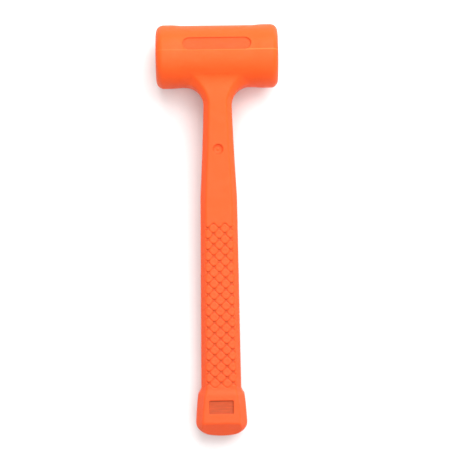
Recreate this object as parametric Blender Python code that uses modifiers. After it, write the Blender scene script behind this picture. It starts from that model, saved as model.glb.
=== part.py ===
"""Dead blow mallet with a one-piece urethane cover over a welded steel core.

The steel core is a closed canister, partly filled with steel shot, welded across the
end of a round bar. The cover is moulded over all of it and forms the head, both
striking faces, the neck, the handle and the butt. Two plugs close the holes that the
mould's locating pins leave in the neck.

Everything is modelled about the centre of the head: X is the striking axis, -Y runs
down the handle and +Z is the front. The frame empty then lays the mallet on its back,
so that the rim of the head and the edge of the butt both rest on Z = 0.
"""

import math

import bmesh
import bpy

# Overall
HEAD_LENGTH = 0.0980
HEAD_RADIUS = 0.0254
BUTT_END = 0.3046  # from the head's axis to the tip of the butt
GAP = 0.0003  # kept between pieces that touch

# Head
HEAD_WAIST = 0.0006  # how much smaller the radius is between the two ends
HEAD_CORNER = 0.0055
WAIST_HALF_LENGTH = 0.0270
END_BAND_INNER = 0.0370
HEAD_STEPS = 48

# Oval panels on the head, front and back
PANEL_LENGTH = 0.0540
PANEL_HEIGHT = 0.0109
PANEL_DEPTH = 0.0013
PANEL_ANGLE = math.radians(23.0)
PANEL_CUTTER_BELOW = 0.0040  # how far its cutter starts below the head's surface

# Handle, measured down from the head's axis
NECK_WIDTH = 0.0232
NECK_THICKNESS = 0.0372
GRIP_START = 0.1120
GRIP_START_WIDTH = 0.0294
GRIP_START_THICKNESS = 0.0338
GRIP_END = 0.2655
GRIP_END_WIDTH = 0.0324
GRIP_END_THICKNESS = 0.0266
HANDLE_CHAMFER = 0.0044  # across the front
HANDLE_CHAMFER_DEPTH = 0.0058  # down the side
SIDE_FILLET = 0.0140  # in the corner between the head's underside and the neck
FRONT_FILLET = 0.0175  # between the front of the neck and the round of the head
EDGE_ROUND = 0.0012
HANDLE_FORM_START = 0.0127  # inside the head
NECK_SECTIONS = 10

# Butt
BUTT_TOP = 0.2693
BUTT_TOP_WIDTH = 0.0363
BUTT_TOP_FLAT = 0.0254
BUTT_WIDEST = 0.2926
BUTT_WIDTH = 0.0412
BUTT_FLAT = 0.0285
BUTT_THICKNESS = 0.0290
BUTT_CHAMFER_SLOPE = 1.3  # depth down the side over width across the front
BUTT_BEVEL_START = 0.2944
BUTT_BEVEL_END = 0.3026
BUTT_TIP_WIDTH = 0.0160
BUTT_TIP_THICKNESS = 0.0100
BUTT_CORNER_POWER = 2.4
BEVEL_SECTIONS = 4
TIP_SECTIONS = (0.6, 0.9, 1.0)  # closer together towards the tip
BUTT_PANEL_PLACE = 0.2801
BUTT_PANEL_WIDTH = 0.0192
BUTT_PANEL_HEIGHT = 0.0106
BUTT_PANEL_DEPTH = 0.0013

# Locating-pin holes and their plugs
PLUG_PLACE = 0.0740
PLUG_HOLE_RADIUS = 0.0038
PLUG_SINK = 0.0010
PLUG_EDGE = 0.0003
PLUG_NUB_RADIUS = 0.0010
PLUG_NUB_TOP_RADIUS = 0.0007
PLUG_NUB_HEIGHT = 0.0004
PLUG_STEPS = 24

# Steel core
CANISTER_RADIUS = 0.0205
CANISTER_WALL = 0.0016
CANISTER_HALF_LENGTH = 0.0415
CAP_THICKNESS = 0.0025
CAP_SINK = 0.0018  # how far the cap lies inside the tube's end
CAP_FACE = CANISTER_HALF_LENGTH - CAP_SINK
CAP_RADIUS = CANISTER_RADIUS - CANISTER_WALL - GAP
CAP_WELD = 0.0014
ROD_RADIUS = 0.0050
ROD_END = 0.2850
ROD_CHAMFER = 0.0008
ROD_WELD_RADIUS = 0.0094
ROD_WELD_START = 0.0170  # inside the canister's round, which trims it
ROD_WELD_SHOULDER = 0.0215
ROD_WELD_END = 0.0256
CORE_STEPS = 48
ROD_STEPS = 24

# Shot
SHOT_HALF_LENGTH = 0.0290
SHOT_TOP_HALF_LENGTH = 0.0220
SHOT_SIDE_HEIGHT = -0.0090  # where the charge's ends start to slope, from the axis
SHOT_TOP_HEIGHT = 0.0037

# How the mallet lies: on the rim of the head and on the back edge of the butt
REST_EDGE = math.hypot(BUTT_BEVEL_START, BUTT_THICKNESS / 2)
TILT = math.asin(HEAD_RADIUS / REST_EDGE) - math.atan2(BUTT_THICKNESS / 2, BUTT_BEVEL_START)
TIP_REACH = BUTT_END * math.cos(TILT) + BUTT_TIP_THICKNESS / 2 * math.sin(TILT)
HEAD_CENTRE_Y = (TIP_REACH - HEAD_RADIUS) / 2

ALONG_HEAD = (0.0, math.pi / 2, 0.0)  # turns +Z onto +X
DOWN_HANDLE = (math.pi / 2, 0.0, 0.0)  # turns +Z onto -Y


# ---------------------------------------------------------------- building blocks


def clear_scene():
    for item in list(bpy.data.objects):
        bpy.data.objects.remove(item, do_unlink=True)


def make_collection(name):
    collection = bpy.data.collections.new(name)
    bpy.context.scene.collection.children.link(collection)
    return collection


def make_material(name, colour, roughness, metallic):
    material = bpy.data.materials.new(name)
    material.use_nodes = True
    shader = material.node_tree.nodes["Principled BSDF"]
    shader.inputs["Base Color"].default_value = (*colour, 1.0)
    shader.inputs["Roughness"].default_value = roughness
    shader.inputs["Metallic"].default_value = metallic
    return material


def add_object(name, mesh, collection, parent, material=None):
    item = bpy.data.objects.new(name, mesh)
    collection.objects.link(item)
    item.parent = parent
    if material:
        mesh.materials.append(material)
    return item


def as_cutter(item):
    item.hide_render = True
    item.display_type = "WIRE"
    return item


def boolean(item, other, operation):
    modifier = item.modifiers.new(f"{operation.lower()}_{other.name}", "BOOLEAN")
    modifier.operation = operation
    modifier.solver = "EXACT"
    modifier.object = other


def turned(name, profile, steps, collection, parent, material=None, closed=False):
    """A profile of (radius, height) points, turned about the object's own Z axis."""
    mesh = bpy.data.meshes.new(name)
    points = [(radius, 0.0, height) for radius, height in profile]
    edges = [(i, i + 1) for i in range(len(points) - 1)]
    if closed:
        edges.append((len(points) - 1, 0))
    mesh.from_pydata(points, edges, [])
    item = add_object(name, mesh, collection, parent, material)
    screw = item.modifiers.new("turn", "SCREW")
    screw.axis = "Z"
    screw.steps = screw.render_steps = steps
    screw.use_merge_vertices = True
    screw.merge_threshold = 0.00001
    screw.use_smooth_shade = True
    return item


def flat_outline(name, points, thickness, collection, parent):
    """A closed outline in the object's XY plane, as thick to one side as to the other."""
    curve = bpy.data.curves.new(name, "CURVE")
    curve.dimensions = "2D"
    curve.fill_mode = "BOTH"
    curve.extrude = thickness / 2
    spline = curve.splines.new("POLY")
    spline.points.add(len(points) - 1)
    for spline_point, (x, y) in zip(spline.points, points):
        spline_point.co = (x, y, 0.0, 1.0)
    spline.use_cyclic_u = True
    guide = bpy.data.objects.new(name + "_guide", curve)
    bpy.context.scene.collection.objects.link(guide)
    depsgraph = bpy.context.evaluated_depsgraph_get()
    mesh = bpy.data.meshes.new_from_object(guide.evaluated_get(depsgraph))
    bpy.data.objects.remove(guide, do_unlink=True)
    bm = bmesh.new()
    bm.from_mesh(mesh)
    bmesh.ops.remove_doubles(bm, verts=bm.verts, dist=0.000001)
    bmesh.ops.recalc_face_normals(bm, faces=bm.faces)
    bm.to_mesh(mesh)
    bm.free()
    mesh.name = name
    return add_object(name, mesh, collection, parent)


def box(name, size, collection, parent):
    mesh = bpy.data.meshes.new(name)
    bm = bmesh.new()
    bmesh.ops.create_cube(bm, size=1.0)
    bmesh.ops.scale(bm, verts=bm.verts, vec=size)
    bm.to_mesh(mesh)
    bm.free()
    return add_object(name, mesh, collection, parent)


def arc(centre, radius, start, end, segments):
    """Points on a circle, in degrees from the first axis towards the second."""
    angles = [math.radians(start + (end - start) * i / segments) for i in range(segments + 1)]
    return [(centre[0] + radius * math.cos(a), centre[1] + radius * math.sin(a)) for a in angles]


def mirrored_profile(upper):
    """The profile's upper half, followed by its mirror image below the middle."""
    return upper + [(radius, -height) for radius, height in reversed(upper)]


def blend(start, end, t):
    return start + (end - start) * t


# ------------------------------------------------------------------ handle and butt


def handle_half_size(place):
    """Half width and half thickness of the plain handle."""
    if place < GRIP_START:
        t = (place - neck_start()) / (GRIP_START - neck_start())
        width = blend(NECK_WIDTH, GRIP_START_WIDTH, t)
        thickness = blend(NECK_THICKNESS, GRIP_START_THICKNESS, t)
    else:
        t = (place - GRIP_START) / (GRIP_END - GRIP_START)
        width = blend(GRIP_START_WIDTH, GRIP_END_WIDTH, t)
        thickness = blend(GRIP_START_THICKNESS, GRIP_END_THICKNESS, t)
    return width / 2, thickness / 2


def neck_start():
    """Where the side fillets end and the straight handle begins."""
    return HEAD_RADIUS + SIDE_FILLET


def front_fillet():
    """Where its arc leaves the flat front of the neck, and how far up it runs."""
    reach = HEAD_RADIUS - HEAD_WAIST + FRONT_FILLET
    start = math.sqrt(reach**2 - (NECK_THICKNESS / 2 + FRONT_FILLET) ** 2)
    return start, start * FRONT_FILLET / reach


def neck_section(place):
    """Half width, half thickness, and chamfer along each, in the filleted neck."""
    drop = min(max(neck_start() - place, 0.0), SIDE_FILLET)
    flare = SIDE_FILLET - math.sqrt(SIDE_FILLET**2 - drop**2)
    fillet_start, fillet_run = front_fillet()
    rise_drop = min(max(fillet_start - place, 0.0), fillet_run)
    rise = FRONT_FILLET - math.sqrt(FRONT_FILLET**2 - rise_drop**2)
    width = NECK_WIDTH / 2 + flare
    thickness = NECK_THICKNESS / 2 + rise
    slimming = flare / SIDE_FILLET * (thickness - HANDLE_CHAMFER_DEPTH - EDGE_ROUND)
    return width, thickness, HANDLE_CHAMFER + flare, HANDLE_CHAMFER_DEPTH + slimming


def butt_section(place):
    """Half width, half thickness, and chamfer along each, in the butt."""
    if place <= BUTT_WIDEST:
        t = (place - BUTT_TOP) / (BUTT_WIDEST - BUTT_TOP)
        width = blend(BUTT_TOP_WIDTH, BUTT_WIDTH, t) / 2
        flat = blend(BUTT_TOP_FLAT, BUTT_FLAT, t) / 2
    else:
        t = (place - BUTT_WIDEST) / (BUTT_END - BUTT_WIDEST)
        fall = (1.0 - t**BUTT_CORNER_POWER) ** (1.0 / BUTT_CORNER_POWER)
        width = blend(BUTT_TIP_WIDTH, BUTT_WIDTH, fall) / 2
        flat = min(BUTT_FLAT / 2, width * BUTT_FLAT / BUTT_WIDTH)
    slope = min(max(place - BUTT_BEVEL_START, 0.0), BUTT_BEVEL_END - BUTT_BEVEL_START)
    thickness = BUTT_THICKNESS / 2 - slope
    if place > BUTT_BEVEL_END:
        t = (place - BUTT_BEVEL_END) / (BUTT_END - BUTT_BEVEL_END)
        thickness = blend(thickness, BUTT_TIP_THICKNESS / 2, t**2)
    chamfer = width - flat
    return width, thickness, chamfer, min(chamfer * BUTT_CHAMFER_SLOPE, thickness * 2 / 3)


def eight_sided(width, thickness, chamfer_x, chamfer_z):
    """A chamfered rectangle's outline with its eight corners rounded off."""
    corners = [
        (width, -thickness + chamfer_z),
        (width, thickness - chamfer_z),
        (width - chamfer_x, thickness),
        (-width + chamfer_x, thickness),
        (-width, thickness - chamfer_z),
        (-width, -thickness + chamfer_z),
        (-width + chamfer_x, -thickness),
        (width - chamfer_x, -thickness),
    ]
    outline = []
    for i, corner in enumerate(corners):
        start = step_towards(corner, corners[i - 1])
        end = step_towards(corner, corners[(i + 1) % len(corners)])
        middle = tuple((s + 2 * c + e) / 4 for s, c, e in zip(start, corner, end))
        outline += [start, middle, end]
    return outline


def step_towards(corner, other):
    """A point a little way from a corner, at most a third of the way to the next one."""
    length = math.dist(corner, other)
    step = min(EDGE_ROUND, length / 3)
    return tuple(c + (o - c) * step / length for c, o in zip(corner, other))


def handle_places():
    """Where the handle's sections are taken, from inside the head to the tip."""
    sections = range(NECK_SECTIONS)
    neck = [blend(HANDLE_FORM_START, neck_start(), i / NECK_SECTIONS) for i in sections]
    straight = [neck_start(), PLUG_PLACE, GRIP_START, GRIP_END]
    butt = [BUTT_TOP, BUTT_WIDEST, BUTT_BEVEL_START]
    steps = [(i + 1) / BEVEL_SECTIONS for i in range(BEVEL_SECTIONS)]
    bevel = [blend(BUTT_BEVEL_START, BUTT_BEVEL_END, t) for t in steps]
    tip = [blend(BUTT_BEVEL_END, BUTT_END, t) for t in TIP_SECTIONS]
    return neck + straight + butt + bevel + tip


def handle_section(place):
    if place < neck_start():
        return neck_section(place)
    if place <= GRIP_END:
        return (*handle_half_size(place), HANDLE_CHAMFER, HANDLE_CHAMFER_DEPTH)
    return butt_section(place)


def make_handle(collection, parent):
    """A loft through the eight-sided sections, closed at both ends."""
    mesh = bpy.data.meshes.new("handle_form")
    bm = bmesh.new()
    rings = []
    for place in handle_places():
        outline = eight_sided(*handle_section(place))
        rings.append([bm.verts.new((x, -place, z)) for x, z in outline])
    for upper, lower in zip(rings, rings[1:]):
        for i in range(len(upper)):
            bm.faces.new((upper[i - 1], upper[i], lower[i], lower[i - 1]))
    bm.faces.new(rings[0])
    bm.faces.new(rings[-1])
    bmesh.ops.recalc_face_normals(bm, faces=bm.faces)
    bm.to_mesh(mesh)
    bm.free()
    mesh.shade_smooth()
    mesh.set_sharp_from_angle(angle=math.radians(25.0))
    return add_object("handle_form", mesh, collection, parent)


# ---------------------------------------------------------------------------- cover


def head_profile():
    corner = (HEAD_RADIUS - HEAD_CORNER, HEAD_LENGTH / 2 - HEAD_CORNER)
    rounded = [(height, radius) for radius, height in arc(corner[::-1], HEAD_CORNER, 0, 90, 5)]
    return mirrored_profile(
        [
            (0.0, HEAD_LENGTH / 2),
            *rounded,
            (HEAD_RADIUS, END_BAND_INNER),
            (HEAD_RADIUS - HEAD_WAIST, WAIST_HALF_LENGTH),
        ]
    )


def core_profile():
    """The space that the canister and its end welds need inside the cover."""
    end = CANISTER_HALF_LENGTH + GAP
    return mirrored_profile(
        [
            (0.0, CAP_FACE + GAP),
            *cap_weld_arc(CAP_WELD + GAP),
            (CAP_RADIUS, end),
            (CANISTER_RADIUS + GAP, end),
        ]
    )


def cap_weld_arc(radius):
    """The face of the bead in the corner between a cap and the canister's wall."""
    points = arc((CAP_FACE + GAP, CAP_RADIUS), radius, -90, 0, 4)
    return [(across, along) for along, across in points]


def rod_space_profile():
    """The space that the bar and its weld need inside the cover."""
    radius = ROD_RADIUS + GAP
    return [
        (0.0, ROD_END + GAP),
        (radius, ROD_END + GAP),
        (radius, ROD_WELD_END + GAP),
        (radius + GAP, ROD_WELD_END + GAP),
        (ROD_WELD_RADIUS + GAP, ROD_WELD_SHOULDER + GAP),
        (ROD_WELD_RADIUS + GAP, ROD_WELD_START - GAP),
        (0.0, ROD_WELD_START - GAP),
    ]


def stadium(length, height, segments=8):
    radius = height / 2
    reach = length / 2 - radius
    right = arc((reach, 0.0), radius, -90, 90, segments)
    left = arc((-reach, 0.0), radius, 90, 270, segments)
    return right + left


def make_core_space(collection, parent):
    item = turned("core_space", core_profile(), CORE_STEPS, collection, parent)
    item.rotation_euler = ALONG_HEAD
    return as_cutter(item)


def make_head_panel(name, side, collection, parent):
    """A cutter for a shallow oval panel whose floor follows the head's round."""
    surface = HEAD_RADIUS - HEAD_WAIST
    thickness = HEAD_RADIUS
    outline = stadium(PANEL_LENGTH, PANEL_HEIGHT)
    panel = as_cutter(flat_outline(name, outline, thickness, collection, parent))
    height = surface + thickness / 2 - PANEL_CUTTER_BELOW
    panel.location = (0.0, height * math.sin(PANEL_ANGLE), side * height * math.cos(PANEL_ANGLE))
    panel.rotation_euler = (-side * PANEL_ANGLE if side > 0 else math.pi + PANEL_ANGLE, 0.0, 0.0)
    ends = [(0.0, PANEL_LENGTH), (surface - PANEL_DEPTH, PANEL_LENGTH)]
    floor = turned(name + "_floor", mirrored_profile(ends), HEAD_STEPS, collection, parent)
    floor.rotation_euler = ALONG_HEAD
    boolean(panel, as_cutter(floor), "DIFFERENCE")
    return panel


def make_butt_panel(name, side, collection, parent):
    panel = box(name, (BUTT_PANEL_WIDTH, BUTT_PANEL_HEIGHT, 2 * BUTT_PANEL_DEPTH), collection, parent)
    panel.location = (0.0, -BUTT_PANEL_PLACE, side * BUTT_THICKNESS / 2)
    return as_cutter(panel)


def make_plug_hole(collection, parent):
    """One hole straight through the neck, front to back, across the bar's space."""
    profile = mirrored_profile([(0.0, NECK_THICKNESS), (PLUG_HOLE_RADIUS, NECK_THICKNESS)])
    hole = turned("plug_hole", profile, PLUG_STEPS, collection, parent)
    hole.location = (0.0, -PLUG_PLACE, 0.0)
    return as_cutter(hole)


def make_cover(parts, cutters, frame, urethane, core_space):
    cover = turned("cover", head_profile(), HEAD_STEPS, parts, frame, urethane)
    cover.rotation_euler = ALONG_HEAD
    boolean(cover, as_cutter(make_handle(cutters, frame)), "UNION")
    boolean(cover, core_space, "DIFFERENCE")
    rod_space = turned("rod_space", rod_space_profile(), ROD_STEPS, cutters, frame)
    rod_space.rotation_euler = DOWN_HANDLE
    boolean(cover, as_cutter(rod_space), "DIFFERENCE")
    boolean(cover, make_plug_hole(cutters, frame), "DIFFERENCE")
    for word, side in (("front", 1), ("rear", -1)):
        boolean(cover, make_head_panel(f"head_panel_{word}", side, cutters, frame), "DIFFERENCE")
        boolean(cover, make_butt_panel(f"butt_panel_{word}", side, cutters, frame), "DIFFERENCE")
    return cover


def make_plugs(parts, frame, urethane):
    """A round plug with a small nub, sunk a little below the neck's flat face."""
    top = handle_half_size(PLUG_PLACE)[1] - PLUG_SINK
    radius = PLUG_HOLE_RADIUS - GAP
    profile = [
        (0.0, top + PLUG_NUB_HEIGHT),
        (PLUG_NUB_TOP_RADIUS, top + PLUG_NUB_HEIGHT),
        (PLUG_NUB_RADIUS, top),
        (radius - PLUG_EDGE, top),
        (radius, top - PLUG_EDGE),
        (radius, ROD_RADIUS + GAP),
        (0.0, ROD_RADIUS + GAP),
    ]
    for word, turn in (("front", 0.0), ("rear", math.pi)):
        plug = turned(f"locating_plug_{word}", profile, PLUG_STEPS, parts, frame, urethane)
        plug.location = (0.0, -PLUG_PLACE, 0.0)
        plug.rotation_euler = (turn, 0.0, 0.0)


# ----------------------------------------------------------------------- steel core


def make_canister(parts, frame, steel, weld_metal):
    inner = CANISTER_RADIUS - CANISTER_WALL
    half = CANISTER_HALF_LENGTH
    wall = [(inner, half), (CANISTER_RADIUS, half), (CANISTER_RADIUS, -half), (inner, -half)]
    tube = turned("canister_tube", wall, CORE_STEPS, parts, frame, steel, closed=True)
    tube.rotation_euler = ALONG_HEAD

    back = CAP_FACE - CAP_THICKNESS
    cap = [(0.0, CAP_FACE), (CAP_RADIUS, CAP_FACE), (CAP_RADIUS, back), (0.0, back)]
    bead = [(CAP_RADIUS, CAP_FACE + GAP), *cap_weld_arc(CAP_WELD)]
    for word, turn in (("right", math.pi / 2), ("left", -math.pi / 2)):
        plate = turned(f"canister_cap_{word}", cap, CORE_STEPS, parts, frame, steel)
        plate.rotation_euler = (0.0, turn, 0.0)
        weld = turned(f"cap_weld_{word}", bead, CORE_STEPS, parts, frame, weld_metal, closed=True)
        weld.rotation_euler = (0.0, turn, 0.0)


def make_rod(parts, frame, steel, weld_metal, core_space):
    """The bar's top end and its weld are both trimmed to the canister's round."""
    profile = [
        (0.0, ROD_END),
        (ROD_RADIUS - ROD_CHAMFER, ROD_END),
        (ROD_RADIUS, ROD_END - ROD_CHAMFER),
        (ROD_RADIUS, ROD_WELD_START),
        (0.0, ROD_WELD_START),
    ]
    rod = turned("handle_rod", profile, ROD_STEPS, parts, frame, steel)
    rod.rotation_euler = DOWN_HANDLE
    boolean(rod, core_space, "DIFFERENCE")

    inner = ROD_RADIUS + GAP
    bead = [
        (inner, ROD_WELD_END),
        (ROD_WELD_RADIUS, ROD_WELD_SHOULDER),
        (ROD_WELD_RADIUS, ROD_WELD_START),
        (inner, ROD_WELD_START),
    ]
    weld = turned("rod_weld", bead, ROD_STEPS, parts, frame, weld_metal, closed=True)
    weld.rotation_euler = DOWN_HANDLE
    boolean(weld, core_space, "DIFFERENCE")


def make_shot(parts, cutters, frame, shot_steel):
    """The whole charge of shot as one bed, lying along the bottom of the canister."""
    slide = bpy.data.objects.new("shot_slide", None)
    parts.objects.link(slide)
    slide.parent = frame
    ends = [(0.0, SHOT_HALF_LENGTH), (CAP_RADIUS, SHOT_HALF_LENGTH)]
    charge = turned("shot_charge", mirrored_profile(ends), CORE_STEPS, parts, slide, shot_steel)
    charge.rotation_euler = ALONG_HEAD
    bottom = -CANISTER_RADIUS
    side = SHOT_HALF_LENGTH + GAP
    heap = [
        (-side, bottom),
        (side, bottom),
        (side, SHOT_SIDE_HEIGHT),
        (SHOT_TOP_HALF_LENGTH, SHOT_TOP_HEIGHT),
        (-SHOT_TOP_HALF_LENGTH, SHOT_TOP_HEIGHT),
        (-side, SHOT_SIDE_HEIGHT),
    ]
    bed = flat_outline("shot_bed", heap, 2 * HEAD_RADIUS, cutters, slide)
    bed.rotation_euler = (math.pi / 2, 0.0, 0.0)  # the outline's Y becomes +Z
    boolean(charge, as_cutter(bed), "INTERSECT")


def main():
    clear_scene()
    parts = make_collection("dead_blow_mallet")
    cutters = make_collection("cutters")
    frame = bpy.data.objects.new("mallet_frame", None)
    parts.objects.link(frame)
    frame.location = (0.0, HEAD_CENTRE_Y, HEAD_RADIUS)
    frame.rotation_euler = (TILT, 0.0, 0.0)

    urethane = make_material("orange_urethane", (0.94, 0.17, 0.045), 0.42, 0.0)
    steel = make_material("bare_steel", (0.52, 0.52, 0.53), 0.38, 1.0)
    weld_metal = make_material("weld_metal", (0.34, 0.32, 0.31), 0.55, 1.0)
    shot_steel = make_material("shot_steel", (0.60, 0.60, 0.61), 0.28, 1.0)

    core_space = make_core_space(cutters, frame)
    make_cover(parts, cutters, frame, urethane, core_space)
    make_plugs(parts, frame, urethane)
    make_canister(parts, frame, steel, weld_metal)
    make_rod(parts, frame, steel, weld_metal, core_space)
    make_shot(parts, cutters, frame, shot_steel)
    bpy.context.view_layer.update()


main()
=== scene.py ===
"""Looks of the dead blow mallet: a fine cover, the welded core, the shot and the studio.

The cover is one continuous moulding, so it is made as one implicit solid (round head,
eight-sided handle, fillets between them, scale relief, sunk panels) and turned into a
mesh on a graded grid. Lengths in the cover's functions are millimetres, in the mallet's
own directions: x along the striking axis, y up the handle with the head's axis at 0, and
z out of the front. The frame's own lengths are metres.
"""

import math

import bmesh
import bpy
import numpy as np
from mathutils import Matrix, Vector


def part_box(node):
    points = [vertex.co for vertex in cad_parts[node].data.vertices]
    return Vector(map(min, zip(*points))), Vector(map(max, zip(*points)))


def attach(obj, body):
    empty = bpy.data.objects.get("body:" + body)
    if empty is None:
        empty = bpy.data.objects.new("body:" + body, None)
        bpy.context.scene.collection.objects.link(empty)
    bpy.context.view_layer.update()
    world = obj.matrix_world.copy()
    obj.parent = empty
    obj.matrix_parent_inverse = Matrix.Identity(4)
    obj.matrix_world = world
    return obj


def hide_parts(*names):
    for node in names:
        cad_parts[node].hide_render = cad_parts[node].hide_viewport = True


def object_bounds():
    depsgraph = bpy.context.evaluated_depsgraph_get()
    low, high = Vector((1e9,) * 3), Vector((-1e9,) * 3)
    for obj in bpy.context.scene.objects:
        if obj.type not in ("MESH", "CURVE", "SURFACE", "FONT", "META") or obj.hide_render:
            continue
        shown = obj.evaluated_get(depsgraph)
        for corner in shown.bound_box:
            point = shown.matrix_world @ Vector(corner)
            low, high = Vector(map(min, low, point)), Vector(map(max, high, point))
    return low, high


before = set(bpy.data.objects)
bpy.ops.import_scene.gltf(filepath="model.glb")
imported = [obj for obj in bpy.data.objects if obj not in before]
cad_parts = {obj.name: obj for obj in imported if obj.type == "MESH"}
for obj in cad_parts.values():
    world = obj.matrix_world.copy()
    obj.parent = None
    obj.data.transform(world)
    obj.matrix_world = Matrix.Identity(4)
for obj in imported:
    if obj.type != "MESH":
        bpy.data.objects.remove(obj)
CAD_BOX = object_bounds()

MM = 0.001

# Head
WAIST = 0.6
WAIST_FROM, WAIST_TO = 27.0, 37.0
CROWN = 0.8
HEAD_CORNER = 5.6
PANEL_HALF, PANEL_ROUND = 27.0, 5.45
PANEL_ANGLE = math.radians(23.0)
PANEL_DEPTH = 1.3
PANEL_DRAFT = 0.1
PANEL_EDGE = 0.22

# Handle, by distance down from the head's axis
NECK_AT, NECK_WIDTH, NECK_THICK = 39.4, 11.35, 18.6
NECK_CURVE = 1.25
GRIP_AT, GRIP_WIDTH, GRIP_THICK = 112.0, 14.6, 16.9
GRIP_TO, GRIP_TO_WIDTH, GRIP_TO_THICK = 265.5, 16.05, 13.3
CHAMFER, CHAMFER_DEPTH = 4.4, 5.8
EDGE_ROUND = 1.2
FRONT_FILLET = 17.5  # between the neck's front and the head
NECK_DIP, DIP_FROM, DIP_TO = 0.6, 34.0, 23.0
HEAD_BLEND = 0.3

# Butt
SHOULDER_AT, SHOULDER_TO = 265.6, 270.8
BUTT_AT, BUTT_WIDTH, BUTT_FLAT = 269.3, 18.15, 12.5
BUTT_WIDE_AT, BUTT_WIDE, BUTT_WIDE_FLAT = 292.6, 20.6, 14.9
BUTT_CURVE = 0.6
BUTT_THICK = 14.5
BUTT_SLOPE = 1.6  # its chamfers' depth over their width
BEVEL_AT, BEVEL_ROUND = 293.3, 1.0
TIP_AT, TIP_WIDTH = 304.6, 8.0
TIP_CROWN = 52.0  # radius of the bottom edge
CORNER_POWER = 2.7
BUTT_PANEL_AT, BUTT_PANEL_X, BUTT_PANEL_Y, BUTT_PANEL_CORNER = 280.1, 9.6, 5.3, 0.6

# Scales of the grip
SCALE_ROW = 4.43
SCALE_FIRST = 136.9
SCALE_LAST_ROW = 28
SCALE_COLUMN = 0.306  # of the handle's half width
SCALE_DEPTH = 0.85
SCALE_POWER = 1.48
SCALE_TOP_RIM = 0.86  # depth of the upper rims over the lower ones
SCALE_TOP_FROM, SCALE_TOP_TO = -0.35, 0.15  # where one kind of rim turns into the other
SCALE_REACH = 0.848
SCALE_SOFT, SCALE_SHARP = 0.25, 0.15  # upper and lower edges, in half rows
SCALE_TURN = 0.4  # the walls change from soft to sharp within this of a scale's middle
SCALE_ENDING = 0.25  # how fast the outermost rims of the first and last rows begin
SCALE_TILT = 0.3
DIMPLE, DIMPLE_RADIUS = 0.22, 0.9
SIDE_FADE, SIDE_FADE_FROM, SIDE_FADE_TO = 0.8, -0.2, 0.7  # past the flat's edge
SIDE_END_FROM, SIDE_END_TO = 2.0, 0.8  # from the handle's side, where the relief ends
BUTT_END = 1.6  # the relief fades out over this length above the butt

# Locating-pin holes and their plugs
HOLE_AT, HOLE_RADIUS, HOLE_FLOOR, HOLE_EDGE = 74.0, 3.8, 5.6, 0.45
PLUG_RADIUS, PLUG_SINK = 3.76, 1.9
PLUG_CLEARANCE, PLUG_STEPS = 0.05, 64
PLUG_NUB = [(0.0, 0.42), (0.55, 0.4), (0.85, 0.28), (1.05, 0.06)]  # radius and height
PLUG_DISH = [(1.3, 0.0), (2.0, 0.02), (2.7, 0.1), (3.2, 0.24), (3.5, 0.36), (3.66, 0.38)]
PLUG_EDGE = (PLUG_RADIUS, 0.28)

# Space for the core
CORE_RADIUS, CORE_HALF, BOSS_HALF, BOSS_RADIUS = 20.9, 41.9, 40.1, 17.2
ROD_SPACE, ROD_TO = 5.4, 285.4
WELD_SPACE, WELD_FROM, WELD_TO = 9.8, 21.9, 26.0

# Weld beads and shot
CAP_FACE, CAP_RADIUS, CAP_BEAD = 40.0, 18.6, 1.4
BEAD_STEPS, BEAD_RIPPLES, BEAD_SIDES = 360, 45, 8
BEAD_LOW, BEAD_RIPPLE = 0.86, 0.13  # of the bead's size
SHOT_RADIUS = 2.38
SHOT_COUNT = 372
SHOT_SEED = 11
SHOT_HALF, SHOT_TOP_HALF, SHOT_SIDE, SHOT_TOP = 29.0, 22.0, -9.0, 3.7
HEAP_HALF, HEAP_MIDDLE = 9.0, -7.0  # heights of the balls before they settle
SETTLE_ROUNDS, FALLING_ROUNDS = 700, 500
SETTLE_FALL, SETTLE_PUSH = 0.03, 0.45  # drop each round, and share of an overlap undone
NOT_ITSELF = 99.0  # keeps a ball from being its own neighbour

# Grids that the cover's outside and its hollow are meshed on: end and spacing of each stretch
COVER_X = [(17.4, 0.5), (28.8, 0.65), (50.4, 0.9)]
COVER_Y_START = -306.0
COVER_Y = [(-264.6, 0.6), (-130.2, 0.5), (-80.0, 1.0), (-68.0, 0.4), (-42.0, 1.0)]
COVER_Y += [(2.0, 0.65), (18.0, 0.5), (26.6, 0.65)]
COVER_Z = [(15.5, 0.5), (26.5, 0.6)]
HOLLOW_X, HOLLOW_Z = [(43.0, 0.9)], [(22.5, 0.9)]
HOLLOW_Y_START = -287.0
HOLLOW_Y = [(-28.0, 1.4), (22.5, 0.9)]
FLATTEST = 0.05  # least squared slope that a point is moved along
SUNK_FROM, SUNK_TO = 0.05, 0.35  # from a panel's outline, where its duller skin and painted recess shade end

# Looks of the moulded skin
LINE_ANGLE = 0.18  # of the moulding line round the head, in radians from its front; the line is raised by bump and lightened in colour as a painted highlight
LINE_CORE, LINE_EDGE = 0.006, 0.028
LINE_FAINT_AT, LINE_STRONG_AT = -0.046, 0.03
SEAM_HALF = 0.00035

# Studio, in metres and watts
CAMERA_HEIGHT, CAMERA_SIDE, CAMERA_ALONG = 1.5, 0.0047, 0.0047
CAMERA_TURN = math.radians(-0.75)
CAMERA_SENSOR, HALF_VIEW = 36.0, 0.1801
KEY_AT, KEY_SIZE, KEY_POWER = (0.46, 1.12, 1.25), (1.9, 1.5), 42.0
OVERHEAD_AT, OVERHEAD_SIZE, OVERHEAD_POWER = (0.15, 0.0, 1.9), (1.8, 1.8), 27.5
LIGHTS_AIM = (0.0, 0.05, 0.0)
WORLD_STRENGTH = 0.42
FLOOR_HALF = 3.0


# ------------------------------------------------------------------- where things are


def middle(node):
    low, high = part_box(node)
    return (low + high) / 2


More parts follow.
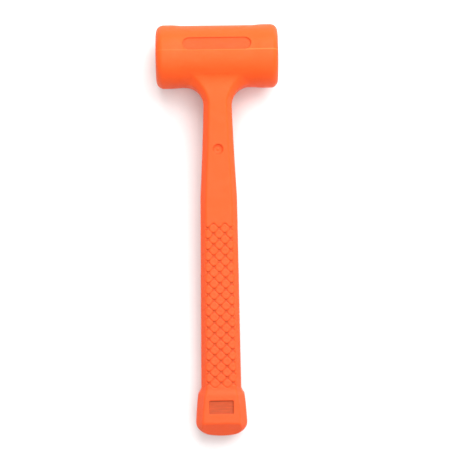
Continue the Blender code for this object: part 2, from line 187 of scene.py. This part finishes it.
HEAD_CENTRE = middle("canister_tube")
HEAD_RADIUS = (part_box("cover")[1].z - HEAD_CENTRE.z) / MM
BARREL = HEAD_RADIUS - WAIST
HEAD_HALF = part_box("cover")[1].x / MM
NECK_CENTRE = (middle("locating_plug_front") + middle("locating_plug_rear")) / 2
TILT = math.atan2(HEAD_CENTRE.z - NECK_CENTRE.z, HEAD_CENTRE.y - NECK_CENTRE.y)
LIE = Matrix.Translation(HEAD_CENTRE) @ Matrix.Rotation(TILT, 4, "X")  # mallet to frame


# ---------------------------------------------------------------- implicit-solid tools


def ramp(value, start, end):
    """0 before start and 1 after end, with a smooth rise between them."""
    t = np.clip((value - start) / (end - start), 0.0, 1.0)
    return t * t * (3.0 - 2.0 * t)


def smooth_max(a, b, radius):
    overlap = np.maximum(radius - np.abs(a - b), 0.0) / radius
    return np.maximum(a, b) + overlap * overlap * radius / 4.0


def fillet_union(a, b, radius):
    """Union of two solids with a round fillet in the corner between them."""
    inside = np.hypot(np.maximum(radius - a, 0.0), np.maximum(radius - b, 0.0))
    return np.maximum(radius, np.minimum(a, b)) - inside


def cut(solid, tool, edge):
    """solid without tool, its new edge rounded off."""
    return smooth_max(solid, -tool, edge)


# --------------------------------------------------------------------- cover's shape


def head(x, across):
    radius = BARREL + WAIST * ramp(np.abs(x), WAIST_FROM, WAIST_TO)
    end = HEAD_HALF - CROWN * np.minimum(across / HEAD_RADIUS, 1.0) ** 2
    qx = np.abs(x) - (end - HEAD_CORNER)
    qr = across - (radius - HEAD_CORNER)
    outside = np.hypot(np.maximum(qx, 0.0), np.maximum(qr, 0.0))
    return outside + np.minimum(np.maximum(qx, qr), 0.0) - HEAD_CORNER


def handle_thickness(down):
    """Half thickness, front to back."""
    places = [NECK_AT, GRIP_AT, GRIP_TO]
    thick = np.interp(down, places, [NECK_THICK, GRIP_THICK, GRIP_TO_THICK])
    return thick + (BUTT_THICK - thick) * ramp(down, SHOULDER_AT, SHOULDER_TO)


def grip_width(down):
    """Half width of the handle without its butt."""
    share = np.interp(down, [NECK_AT, GRIP_AT], [0.0, 1.0]) ** NECK_CURVE
    width = NECK_WIDTH + (GRIP_WIDTH - NECK_WIDTH) * share
    return width + np.interp(down, [GRIP_AT, GRIP_TO], [0.0, GRIP_TO_WIDTH - GRIP_WIDTH])


def handle_widths(down):
    """Half width, and the chamfers' width across the front and depth down the side."""
    width = grip_width(down)
    share = np.interp(down, [BUTT_AT, BUTT_WIDE_AT], [0.0, 1.0]) ** BUTT_CURVE
    butt_width = BUTT_WIDTH + (BUTT_WIDE - BUTT_WIDTH) * share
    butt_chamfer = butt_width - (BUTT_FLAT + (BUTT_WIDE_FLAT - BUTT_FLAT) * share)
    step = ramp(down, SHOULDER_AT, SHOULDER_TO)
    chamfer = CHAMFER + (butt_chamfer - CHAMFER) * step
    depth = CHAMFER_DEPTH + (butt_chamfer * BUTT_SLOPE - CHAMFER_DEPTH) * step
    return width + (butt_width - width) * step, chamfer, depth


def front_level(down, az, thick):
    """Level of the handle's front face, which sweeps up a fillet onto the head."""
    reach = BARREL + FRONT_FILLET
    foot = math.sqrt(reach**2 - (NECK_THICK - NECK_DIP + FRONT_FILLET) ** 2)
    thick = thick - NECK_DIP * ramp(-down, -DIP_FROM, -DIP_TO)
    above = np.maximum(thick + FRONT_FILLET - az, 0.0)
    sweep = FRONT_FILLET - np.hypot(above, np.maximum(foot - down, 0.0))
    level = np.maximum(sweep, az - thick - FRONT_FILLET)
    return level, foot * BARREL / reach


def handle(x, down, z):
    width, chamfer, depth = handle_widths(down)
    thick = handle_thickness(down)
    ax, az = np.abs(x), np.abs(z)
    front, top = front_level(down, az, thick)
    tip = TIP_AT - ax**2 / (2 * TIP_CROWN)
    head_at = np.sqrt(BARREL**2 - np.minimum(az, NECK_THICK) ** 2)
    reach = NECK_AT - head_at  # radius of the round between the neck's side and the head
    beside, below = width + reach - ax, NECK_AT - down
    flare = reach - np.hypot(np.maximum(beside, 0.0), np.maximum(below, 0.0))
    side = np.maximum(flare, -beside)
    u = np.maximum((down - BUTT_WIDE_AT) / (tip - BUTT_WIDE_AT), 0.0)
    v = np.maximum((ax - TIP_WIDTH) / (BUTT_WIDE - TIP_WIDTH), 0.0)
    level = (u**CORNER_POWER + v**CORNER_POWER) ** (1.0 / CORNER_POWER) - 1.0
    corner = level * (BUTT_WIDE - TIP_WIDTH)
    side = np.where(down > BUTT_WIDE_AT, corner, side)
    facet = (side + chamfer) * depth + front * chamfer
    facet = facet / np.hypot(chamfer, depth)
    solid = smooth_max(smooth_max(side, front, EDGE_ROUND), facet, EDGE_ROUND)
    bevel = (az - BUTT_THICK + down - BEVEL_AT) / math.sqrt(2.0)
    solid = smooth_max(solid, bevel, BEVEL_ROUND)
    return np.maximum(solid, top - down)


def scale_relief(x, down):
    """How deep the grip's surface lies below the plain handle, from 0 to 1."""
    width = grip_width(down)
    column = x / (width * SCALE_COLUMN)
    row = (down - SCALE_FIRST) / SCALE_ROW
    p, q = (column + row - 1.0) / 2.0, (column - row - 1.0) / 2.0
    cell_p, cell_q = np.round(p), np.round(q)
    fp, fq = p - cell_p, q - cell_q
    cell_row = cell_p - cell_q
    along, sideways = fp - fq, fp + fq
    reach = np.abs(along) ** SCALE_POWER + np.abs(sideways) ** SCALE_POWER
    reach = reach ** (1.0 / SCALE_POWER)
    wall = SCALE_SOFT + (SCALE_SHARP - SCALE_SOFT) * ramp(along, -SCALE_TURN, SCALE_TURN)
    rim = ramp(reach, SCALE_REACH - wall, SCALE_REACH)
    lower = ramp(along, SCALE_TOP_FROM, SCALE_TOP_TO)
    rim = rim * (SCALE_TOP_RIM + (1.0 - SCALE_TOP_RIM) * lower)
    centre = np.hypot(sideways, along) * SCALE_ROW
    dimple = DIMPLE * np.exp(-((centre / DIMPLE_RADIUS) ** 2))
    lean = SCALE_TILT * (1.0 - 2.0 * along) / 2.0
    pad = np.clip(rim + (lean + dimple) * (1.0 - rim), 0.0, 1.0)
    edge_above = rim * ramp(along, 0.0, SCALE_ENDING)  # in the smooth zone above the first row
    edge_below = rim * ramp(-along, 0.0, SCALE_ENDING)  # and in the one below the last row
    last = SCALE_LAST_ROW
    relief = np.where((cell_row >= 0) & (cell_row <= last), pad, 0.0)
    relief = np.where(cell_row == -1, edge_above, relief)
    relief = np.where(cell_row == last + 1, edge_below, relief)
    edge = width - CHAMFER
    ax = np.abs(x)
    sides = 1.0 - SIDE_FADE * ramp(ax, edge + SIDE_FADE_FROM, edge + SIDE_FADE_TO)
    sides = sides - (1.0 - SIDE_FADE) * ramp(ax, width - SIDE_END_FROM, width - SIDE_END_TO)
    return relief * sides * (1.0 - ramp(down, GRIP_TO - BUTT_END, GRIP_TO))


def head_panel(x, y, z, across):
    """Negative inside the head's oval panels, which follow its round."""
    turn = BARREL * (np.arctan2(y, np.abs(z)) - PANEL_ANGLE)
    oval = np.hypot(np.maximum(np.abs(x) - PANEL_HALF + PANEL_ROUND, 0.0), turn) - PANEL_ROUND
    oval = oval + PANEL_DRAFT * np.clip(BARREL - across, -1.0, 1.0)
    return smooth_max(oval, BARREL - PANEL_DEPTH - across, PANEL_EDGE)


def butt_panel(x, down, z):
    qx = np.abs(x) - BUTT_PANEL_X + BUTT_PANEL_CORNER
    qy = np.abs(down - BUTT_PANEL_AT) - BUTT_PANEL_Y + BUTT_PANEL_CORNER
    plate = np.hypot(np.maximum(qx, 0.0), np.maximum(qy, 0.0))
    plate = plate + np.minimum(np.maximum(qx, qy), 0.0) - BUTT_PANEL_CORNER
    plate = plate + PANEL_DRAFT * np.clip(BUTT_THICK - np.abs(z), -1.0, 1.0)
    return smooth_max(plate, BUTT_THICK - PANEL_DEPTH - np.abs(z), PANEL_EDGE)


def cover_solid(x, y, z):
    """Negative inside the cover, positive outside, about in millimetres."""
    down = -y
    across = np.hypot(y, z)
    solid = fillet_union(head(x, across), handle(x, down, z), HEAD_BLEND)
    solid = solid + SCALE_DEPTH * scale_relief(x, down)
    solid = cut(solid, head_panel(x, y, z, across), PANEL_EDGE)
    solid = cut(solid, butt_panel(x, down, z), PANEL_EDGE)
    hole = np.maximum(np.hypot(x, down - HOLE_AT) - HOLE_RADIUS, HOLE_FLOOR - np.abs(z))
    return cut(solid, hole, HOLE_EDGE)


def core_space(x, y, z):
    """The hollow that holds the steel core: negative inside it."""
    down = -y
    across = np.hypot(y, z)
    shell = across - CORE_RADIUS
    canister = np.maximum(shell, np.abs(x) - BOSS_HALF)
    rim = np.maximum(np.maximum(shell, BOSS_RADIUS - across), np.abs(x) - CORE_HALF)
    beside = np.hypot(x, z)
    rod = np.maximum(np.maximum(beside - ROD_SPACE, down - ROD_TO), -down)
    slope = np.interp(down, [WELD_FROM, WELD_TO], [WELD_SPACE, ROD_SPACE])
    weld = np.maximum(np.maximum(beside - slope, down - WELD_TO), -down)
    return np.minimum.reduce([canister, rim, rod, weld])


# ------------------------------------------------------- from implicit solid to mesh


def graded(start, *stretches):
    """Grid planes from stretches laid end to end, each one its end and its spacing."""
    planes = [start]
    for end, spacing in stretches:
        begin = planes[-1]
        count = max(1, round((end - begin) / spacing))
        planes += [begin + (end - begin) * (i + 1) / count for i in range(count)]
    return np.array(planes)


def mirrored(*stretches):
    """Grid planes graded outwards from 0, the same on both sides."""
    half = graded(0.0, *stretches)
    return np.concatenate([-half[:0:-1], half])


def sample(solid, xs, ys, zs, slab=24):
    """The solid's values on the whole grid, worked out a slab at a time."""
    values = np.empty((len(xs), len(ys), len(zs)), np.float32)
    for start in range(0, len(ys), slab):
        part = ys[start : start + slab]
        values[:, start : start + slab] = solid(*np.meshgrid(xs, part, zs, indexing="ij"))
    return values


def net_points(values, planes, cells):
    """One point in each cell that the surface passes through: its crossings' mean."""
    total = np.zeros((len(cells), 3))
    count = np.zeros(len(cells))
    corners = [(i, j, k) for i in (0, 1) for j in (0, 1) for k in (0, 1)]
    for a in corners:
        for axis in range(3):
            if a[axis]:
                continue
            b = tuple(c + (i == axis) for i, c in enumerate(a))
            ia, ib = cells + a, cells + b
            va, vb = values[tuple(ia.T)], values[tuple(ib.T)]
            crossed = (va < 0) != (vb < 0)
            share = np.where(crossed, va / np.where(crossed, va - vb, 1.0), 0.0)
            pa = np.stack([planes[d][ia[:, d]] for d in range(3)], 1)
            pb = np.stack([planes[d][ib[:, d]] for d in range(3)], 1)
            total += np.where(crossed[:, None], pa + (pb - pa) * share[:, None], 0.0)
            count += crossed
    return total / count[:, None]


def net_faces(inside, number):
    """A quad round each grid edge that the surface crosses, facing out."""
    quads = []
    for axis in range(3):
        u, v = [d for d in range(3) if d != axis]
        low = [slice(None)] * 3
        high = [slice(None)] * 3
        low[axis], high[axis] = slice(None, -1), slice(1, None)
        first, second = inside[tuple(low)], inside[tuple(high)]
        at = np.argwhere(first != second)
        around = []
        for du, dv in ((-1, -1), (0, -1), (0, 0), (-1, 0)):
            cell = at.copy()
            cell[:, u] += du
            cell[:, v] += dv
            around.append(number[tuple(cell.T)])
        quad = np.stack(around, 1)
        outward = first[tuple(at.T)] == (axis != 1)
        quads.append(np.where(outward[:, None], quad, quad[:, ::-1]))
    return np.concatenate(quads)


def settle(solid, points, rounds=3, step=0.02, reach=0.25):
    """Moves the points onto the surface, along the solid's own slope."""
    for _ in range(rounds):
        value = solid(*points.T)
        slope = np.empty_like(points)
        for axis in range(3):
            shift = np.zeros(3)
            shift[axis] = step
            ahead, behind = solid(*(points + shift).T), solid(*(points - shift).T)
            slope[:, axis] = (ahead - behind) / (2 * step)
        steep = np.maximum((slope**2).sum(1), FLATTEST)
        move = slope * (value / steep)[:, None]
        length = np.linalg.norm(move, axis=1, keepdims=True)
        points = points - move * np.minimum(1.0, reach / np.maximum(length, 1e-9))
    return points


def surface(solid, xs, ys, zs):
    """Points and quads of the solid's surface on a graded grid."""
    values = sample(solid, xs, ys, zs)
    inside = values < 0
    shape = tuple(n - 1 for n in inside.shape)
    count = np.zeros(shape, np.int8)
    for i in (0, 1):
        for j in (0, 1):
            for k in (0, 1):
                count += inside[i : i + shape[0], j : j + shape[1], k : k + shape[2]]
    cells = np.argwhere((count > 0) & (count < 8))
    number = np.full(shape, -1, np.int64)
    number[tuple(cells.T)] = np.arange(len(cells))
    points = net_points(values, (xs, ys, zs), cells)
    return settle(solid, points), net_faces(inside, number)


# --------------------------------------------------------------------------- pieces


def new_piece(name, mesh, body, slot, material, *nodes):
    """A piece from a mesh in the mallet's own directions, laid down as the mallet lies."""
    mesh.transform(LIE)
    mesh.shade_smooth()
    mesh.materials.append(material)
    piece = bpy.data.objects.new(name, mesh)
    bpy.context.scene.collection.objects.link(piece)
    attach(piece, body)
    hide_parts(*nodes)
    return piece


def mesh_from(name, points, faces):
    mesh = bpy.data.meshes.new(name)
    mesh.from_pydata((np.asarray(points) * MM).tolist(), [], [list(face) for face in faces])
    return mesh


def add_values(mesh, name, values):
    mesh.attributes.new(name, "FLOAT", "POINT").data.foreach_set("value", values)


def make_cover(material):
    xs, ys, zs = mirrored(*COVER_X), graded(COVER_Y_START, *COVER_Y), mirrored(*COVER_Z)
    points, quads = surface(cover_solid, xs, ys, zs)
    xs, ys, zs = mirrored(*HOLLOW_X), graded(HOLLOW_Y_START, *HOLLOW_Y), mirrored(*HOLLOW_Z)
    hollow, hollow_quads = surface(core_space, xs, ys, zs)
    faces = np.concatenate([quads, hollow_quads[:, ::-1] + len(points)])  # hollow faces inwards
    every = np.concatenate([points, hollow])
    mesh = mesh_from("cover", every, faces)
    x, y, z = every.T
    across = np.hypot(y, z)
    outer = np.arange(len(x)) < len(points)
    sunk = np.minimum(head_panel(x, y, z, across), butt_panel(x, -y, z))
    # groove: depth of the scales' relief, which the material darkens as painted shade; sunk: inside the
    # sunk panels, whose floors the material darkens, partly as painted shade
    add_values(mesh, "groove", scale_relief(x, -y) * outer)
    add_values(mesh, "sunk", (1.0 - ramp(sunk, SUNK_FROM, SUNK_TO)) * outer)
    return new_piece("urethane_cover", mesh, "mallet", "orange_urethane", material, "cover")


def turned(profile, steps):
    """Points and faces of a closed profile of (radius, height) turned about +Z."""
    points, rings, faces = [], [], []
    for radius, height in profile:
        count = steps if radius > 0 else 1
        rings.append(range(len(points), len(points) + count))
        for i in range(count):
            angle = 2 * math.pi * i / steps
            points.append((radius * math.cos(angle), radius * math.sin(angle), height))
    for upper, lower in zip(rings, rings[1:]):
        for i in range(steps):
            j = (i + 1) % steps
            face = [upper[i % len(upper)], lower[i % len(lower)]]
            face += [lower[j % len(lower)], upper[j % len(upper)]]
            faces.append(list(dict.fromkeys(face)))
    return points, faces


def make_plugs(material):
    """Sunk plugs with a shallow dish round a small nub."""
    top = handle_thickness(HOLE_AT) - PLUG_SINK
    profile = [(radius, top + height) for radius, height in PLUG_NUB + PLUG_DISH + [PLUG_EDGE]]
    foot = HOLE_FLOOR + PLUG_CLEARANCE
    points, faces = turned(profile + [(PLUG_RADIUS, foot), (0.0, foot)], PLUG_STEPS)
    for word, turn in (("front", 0.0), ("rear", math.pi)):
        mesh = mesh_from("plug_" + word, points, faces)
        mesh.transform(Matrix.Rotation(turn, 4, "X"))
        mesh.transform(Matrix.Translation((0.0, -HOLE_AT * MM, 0.0)))
        mesh.update()
        name = "moulded_plug_" + word
        new_piece(name, mesh, "mallet", "orange_urethane", material, "locating_plug_" + word)


def make_cap_beads(material):
    """The beads' faces rise and fall in overlapping ripples as they go round."""
    row = BEAD_SIDES + 2
    for word, turn in (("right", math.pi / 2), ("left", -math.pi / 2)):
        points = []
        for i in range(BEAD_STEPS):
            angle = 2 * math.pi * i / BEAD_STEPS
            phase = (BEAD_RIPPLES * i / BEAD_STEPS) % 1.0
            ripple = math.sqrt(max(0.0, 1.0 - (2 * phase - 1.0) ** 2))
            bead = CAP_BEAD * (BEAD_LOW + BEAD_RIPPLE * ripple)
            section = [(CAP_RADIUS, CAP_FACE)]
            for k in range(BEAD_SIDES + 1):
                bend = math.pi / 2 * k / BEAD_SIDES
                radius = CAP_RADIUS - bead * math.cos(bend)
                section.append((radius, CAP_FACE + bead * math.sin(bend)))
            for radius, height in section:
                points.append((radius * math.cos(angle), radius * math.sin(angle), height))
        faces = []
        for i in range(BEAD_STEPS):
            j = (i + 1) % BEAD_STEPS
            for k in range(row):
                m = (k + 1) % row
                faces.append([i * row + k, j * row + k, j * row + m, i * row + m])
        mesh = mesh_from("bead_" + word, points, faces)
        mesh.transform(Matrix.Rotation(turn, 4, "Y"))
        new_piece("cap_bead_" + word, mesh, "mallet", "weld_metal", material, "cap_weld_" + word)


def packed_shot():
    """Centres of balls that lie in a heap: pushed apart, held in, and drawn down."""
    draw = np.random.default_rng(SHOT_SEED)
    inner = CAP_RADIUS - SHOT_RADIUS
    middles = draw.uniform(-1.0, 1.0, (SHOT_COUNT, 3))
    middles = middles * (SHOT_HALF - SHOT_RADIUS, inner, HEAP_HALF) + (0.0, 0.0, HEAP_MIDDLE)
    for turn in range(SETTLE_ROUNDS):
        apart = middles[:, None] - middles[None]
        distance = np.linalg.norm(apart, axis=2) + np.eye(SHOT_COUNT) * NOT_ITSELF
        overlap = np.maximum(2 * SHOT_RADIUS - distance, 0.0) / distance
        middles = middles + (apart * overlap[:, :, None]).sum(1) * SETTLE_PUSH
        middles[:, 2] -= SETTLE_FALL if turn < FALLING_ROUNDS else 0.0
        x, y, z = middles.T
        z = np.minimum(z, SHOT_TOP - SHOT_RADIUS)
        far = np.hypot(y, z)
        pull = np.minimum(1.0, inner / np.maximum(far, 1e-6))
        heights = [SHOT_SIDE, SHOT_TOP]
        reach = np.interp(z, heights, [SHOT_HALF, SHOT_TOP_HALF]) - SHOT_RADIUS
        middles = np.stack([np.clip(x, -reach, reach), y * pull, z * pull], 1)
    return middles


def make_shot(material):
    bm = bmesh.new()
    for place in packed_shot():
        spot = Matrix.Translation(Vector(place) * MM)
        bmesh.ops.create_icosphere(bm, subdivisions=3, radius=SHOT_RADIUS * MM, matrix=spot)
    mesh = bpy.data.meshes.new("shot")
    bm.to_mesh(mesh)
    bm.free()
    new_piece("steel_shot", mesh, "shot", "shot_steel", material, "shot_charge")


# ------------------------------------------------------------------------- materials


class Surface:
    """A material under construction, in the mallet's own directions and in metres."""

    def __init__(self, name):
        self.material = bpy.data.materials.new(name)
        self.material.use_nodes = True
        self.nodes = self.material.node_tree.nodes
        self.links = self.material.node_tree.links
        self.shader = self.nodes["Principled BSDF"]
        source = self.nodes.new("ShaderNodeTexCoord")
        lay = self.nodes.new("ShaderNodeMapping")
        lay.vector_type = "TEXTURE"
        lay.inputs["Location"].default_value = HEAD_CENTRE
        lay.inputs["Rotation"].default_value = (TILT, 0.0, 0.0)
        self.links.new(source.outputs["Object"], lay.inputs["Vector"])
        self.place = lay.outputs["Vector"]
        split = self.nodes.new("ShaderNodeSeparateXYZ")
        self.links.new(self.place, split.inputs["Vector"])
        self.x, self.y, self.z = split.outputs

    def set(self, **values):
        for name, value in values.items():
            self.shader.inputs[name.replace("_", " ")].default_value = value

    def feed(self, name, socket):
        self.links.new(socket, self.shader.inputs[name])

    def put(self, node, index, value):
        if isinstance(value, bpy.types.NodeSocket):
            self.links.new(value, node.inputs[index])
        else:
            node.inputs[index].default_value = value

    def math(self, operation, a, b=0.0, c=0.0):
        node = self.nodes.new("ShaderNodeMath")
        node.operation = operation
        for index, value in enumerate((a, b, c)):
            self.put(node, index, value)
        return node.outputs[0]

    def noise(self, scale, detail=2.0, stretch=None, roughness=0.5):
        node = self.nodes.new("ShaderNodeTexNoise")
        node.inputs["Scale"].default_value = scale
        node.inputs["Detail"].default_value = detail
        node.inputs["Roughness"].default_value = roughness
        place = self.place
        if stretch:
            mapping = self.nodes.new("ShaderNodeMapping")
            mapping.inputs["Scale"].default_value = stretch
            self.links.new(place, mapping.inputs["Vector"])
            place = mapping.outputs["Vector"]
        self.links.new(place, node.inputs["Vector"])
        return node.outputs["Fac"]

    def span(self, value, from_low, from_high, to_low=0.0, to_high=1.0, smooth=False):
        """value carried from one range to another, and held inside it."""
        node = self.nodes.new("ShaderNodeMapRange")
        node.interpolation_type = "SMOOTHSTEP" if smooth else "LINEAR"
        for index, item in enumerate((value, from_low, from_high, to_low, to_high)):
            self.put(node, index, item)
        return node.outputs["Result"]

    def mix(self, share, a, b):
        node = self.nodes.new("ShaderNodeMix")
        node.data_type = "RGBA"
        for index, value in ((0, share), (6, a), (7, b)):
            self.put(node, index, value)
        return node.outputs[2]

    def value(self, name):
        """The number that the mesh stores at each point under this name."""
        node = self.nodes.new("ShaderNodeAttribute")
        node.attribute_name = name
        return node.outputs["Fac"]

    def bump(self, height, distance, below=None):
        node = self.nodes.new("ShaderNodeBump")
        node.inputs["Distance"].default_value = distance
        self.links.new(height, node.inputs["Height"])
        if below:
            self.links.new(below, node.inputs["Normal"])
        return node.outputs["Normal"]


def urethane():
    look = Surface("orange_urethane_surface")
    look.set(Specular_IOR_Level=0.15, Subsurface_Weight=0.08, Subsurface_Scale=0.0012)
    look.shader.inputs["Subsurface Radius"].default_value = (1.0, 0.25, 0.1)

    drift = look.math("MULTIPLY_ADD", look.noise(14.0, 3.0), 0.12, look.y)
    colour = look.mix(look.span(drift, -0.16, 0.08), (0.86, 0.097, 0.023, 1.0), (0.88, 0.1, 0.014, 1.0))
    mottle = look.span(look.noise(700.0, 4.0), 0.3, 0.7, 0.0, 0.1)
    colour = look.mix(mottle, colour, (0.5, 0.055, 0.01, 1.0))

    # painted shade: the grooves between the scales are darkened in colour where shade would fall in
    # them
    groove = look.value("groove")
    groove_shade = look.math("MULTIPLY", look.span(groove, 0.4, 0.85), 0.7)
    colour = look.mix(groove_shade, colour, (0.42, 0.055, 0.014, 1.0))

    # the sunk panels' floors are darker in colour, more so in the butt's panel: partly their duller
    # skin, partly painted shade in the recess
    sunk = look.value("sunk")
    streak = look.noise(1.0, 3.0, (90.0, 1500.0, 90.0))
    low = look.span(look.y, -0.25, -0.20, 1.0, 0.0)  # 1 in the butt's panels
    dull_and_shaded = look.math("MULTIPLY", sunk, look.math("MULTIPLY_ADD", low, 0.35, 0.45))
    dull_and_shaded = look.math("MULTIPLY", dull_and_shaded, look.span(streak, 0.3, 0.7, 0.75, 1.25))
    colour = look.mix(dull_and_shaded, colour, (0.37, 0.067, 0.025, 1.0))

    face = look.span(look.math("ABSOLUTE", look.x), 0.0445, 0.0478, smooth=True)
    patches = look.span(look.noise(55.0, 5.0, roughness=0.65), 0.5, 0.68)
    scuff = look.math("MULTIPLY", look.math("MULTIPLY", face, patches), 0.22)
    colour = look.mix(scuff, colour, (0.42, 0.12, 0.06, 1.0))

    turn = look.math("ARCTAN2", look.y, look.z)  # round the head, from its front
    beside = look.math("ABSOLUTE", look.math("SUBTRACT", turn, LINE_ANGLE))
    line = look.span(beside, LINE_CORE, LINE_EDGE, 1.0, 0.0, smooth=True)
    strength = look.span(look.x, LINE_FAINT_AT, LINE_STRONG_AT, 0.3, 1.0)
    line = look.math("MULTIPLY", line, strength)
    line = look.math("MULTIPLY", line, look.span(look.y, 0.0, 0.002))
    # painted highlight: the colour along the moulding line is lightened, most towards +x
    painted_line_highlight = look.math("MULTIPLY", line, 0.75)
    look.feed("Base Color", look.mix(painted_line_highlight, colour, (0.87, 0.19, 0.045, 1.0)))

    satin = look.span(look.noise(210.0, 3.0), 0.3, 0.7, 0.43, 0.55)
    satin = look.math("MULTIPLY_ADD", sunk, 0.12, satin)
    look.feed("Roughness", look.math("MULTIPLY_ADD", scuff, 0.6, satin))

    middle_plane = look.math("ABSOLUTE", look.z)
    seam = look.span(middle_plane, 0.0, SEAM_HALF, 1.0, 0.0, smooth=True)
    raised = look.math("ADD", seam, line)
    normal = look.bump(raised, 0.00012)
    normal = look.bump(look.noise(45.0, 2.0), 0.0012, normal)
    normal = look.bump(look.noise(1900.0, 3.0), 0.00003, normal)
    look.feed("Normal", normal)
    return look.material


def drawn_steel(name, stretch):
    """Mill-finish steel with its drawing lines along the axis that stretch leaves long."""
    look = Surface(name)
    look.set(Metallic=1.0, Anisotropic=0.35)
    lines = look.noise(1.0, 4.0, stretch)
    colour = look.mix(lines, (0.40, 0.40, 0.41, 1.0), (0.60, 0.60, 0.61, 1.0))
    heat = look.span(look.math("ABSOLUTE", look.x), 0.034, 0.041, smooth=True)
    heat = look.math("MULTIPLY", heat, look.span(look.noise(160.0, 3.0), 0.3, 0.7, 0.2, 0.7))
    colour = look.mix(heat, colour, (0.20, 0.13, 0.10, 1.0))
    look.feed("Base Color", colour)
    look.feed("Roughness", look.span(lines, 0.25, 0.75, 0.26, 0.46))
    look.feed("Normal", look.bump(lines, 0.00004))
    return look.material


def weld_metal():
    look = Surface("weld_metal_surface")
    look.set(Metallic=1.0)
    scale = look.noise(900.0, 5.0, roughness=0.65)
    spots = look.span(look.noise(300.0, 2.0), 0.55, 0.7)
    colour = look.mix(scale, (0.22, 0.21, 0.20, 1.0), (0.44, 0.42, 0.40, 1.0))
    look.feed("Base Color", look.mix(spots, colour, (0.14, 0.09, 0.06, 1.0)))
    look.feed("Roughness", look.span(scale, 0.3, 0.7, 0.4, 0.65))
    look.feed("Normal", look.bump(scale, 0.0001))
    return look.material


def shot_steel():
    look = Surface("shot_steel_surface")
    look.set(Metallic=1.0)
    ball = look.noise(150.0, 1.0)
    colour = look.mix(ball, (0.50, 0.50, 0.52, 1.0), (0.72, 0.72, 0.72, 1.0))
    look.feed("Base Color", colour)
    pits = look.noise(1500.0, 3.0)
    look.feed("Roughness", look.span(pits, 0.35, 0.7, 0.16, 0.34))
    look.feed("Normal", look.bump(pits, 0.00002))
    return look.material


def floor_paper():
    look = Surface("floor_paper")
    look.set(Roughness=0.85, Specular_IOR_Level=0.2)
    fibre = look.noise(350.0, 3.0)
    look.feed("Base Color", look.mix(fibre, (0.82, 0.82, 0.82, 1.0), (0.85, 0.85, 0.85, 1.0)))
    return look.material


def dress(material, *nodes):
    for node in nodes:
        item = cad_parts[node]
        item.data.materials.clear()
        item.data.materials.append(material)


# ---------------------------------------------------------------------------- studio


def make_camera():
    """Straight above the mallet, turned a little so that the handle leans as it lies."""
    data = bpy.data.cameras.new("camera")
    data.sensor_width = CAMERA_SENSOR
    data.lens = CAMERA_SENSOR / 2 * CAMERA_HEIGHT / HALF_VIEW
    camera = bpy.data.objects.new("camera", data)
    bpy.context.scene.collection.objects.link(camera)
    camera.location = (CAMERA_SIDE, CAMERA_ALONG, HEAD_CENTRE.z + CAMERA_HEIGHT)
    camera.rotation_euler = (0.0, 0.0, CAMERA_TURN)
    bpy.context.scene.camera = camera


def make_floor():
    bm = bmesh.new()
    bmesh.ops.create_grid(bm, x_segments=1, y_segments=1, size=FLOOR_HALF)
    mesh = bpy.data.meshes.new("floor")
    bm.to_mesh(mesh)
    bm.free()
    mesh.materials.append(floor_paper())
    floor = bpy.data.objects.new("floor", mesh)
    floor.location.z = CAD_BOX[0].z
    bpy.context.scene.collection.objects.link(floor)


def soft_light(name, place, size, power):
    data = bpy.data.lights.new(name, "AREA")
    data.shape = "RECTANGLE"
    data.size, data.size_y = size
    data.energy = power
    light = bpy.data.objects.new(name, data)
    light.location = place
    aim = Vector(LIGHTS_AIM) - Vector(place)
    light.rotation_euler = aim.to_track_quat("-Z", "Y").to_euler()
    bpy.context.scene.collection.objects.link(light)


def make_studio():
    make_camera()
    make_floor()
    soft_light("key", KEY_AT, KEY_SIZE, KEY_POWER)
    soft_light("overhead", OVERHEAD_AT, OVERHEAD_SIZE, OVERHEAD_POWER)
    world = bpy.data.worlds.new("studio")
    world.use_nodes = True
    background = world.node_tree.nodes["Background"]
    background.inputs["Color"].default_value = (1.0, 1.0, 1.0, 1.0)
    background.inputs["Strength"].default_value = WORLD_STRENGTH
    bpy.context.scene.world = world
    bpy.context.scene.view_settings.view_transform = "Standard"


orange = urethane()
weld = weld_metal()
make_cover(orange)
make_plugs(orange)
make_cap_beads(weld)
make_shot(shot_steel())
dress(drawn_steel("drawn_tube_steel", (30.0, 1100.0, 1100.0)), "canister_tube")
dress(drawn_steel("drawn_bar_steel", (1100.0, 30.0, 1100.0)), "handle_rod")
dress(drawn_steel("cap_steel", (300.0, 500.0, 500.0)), "canister_cap_left", "canister_cap_right")
dress(weld, "rod_weld")
make_studio()
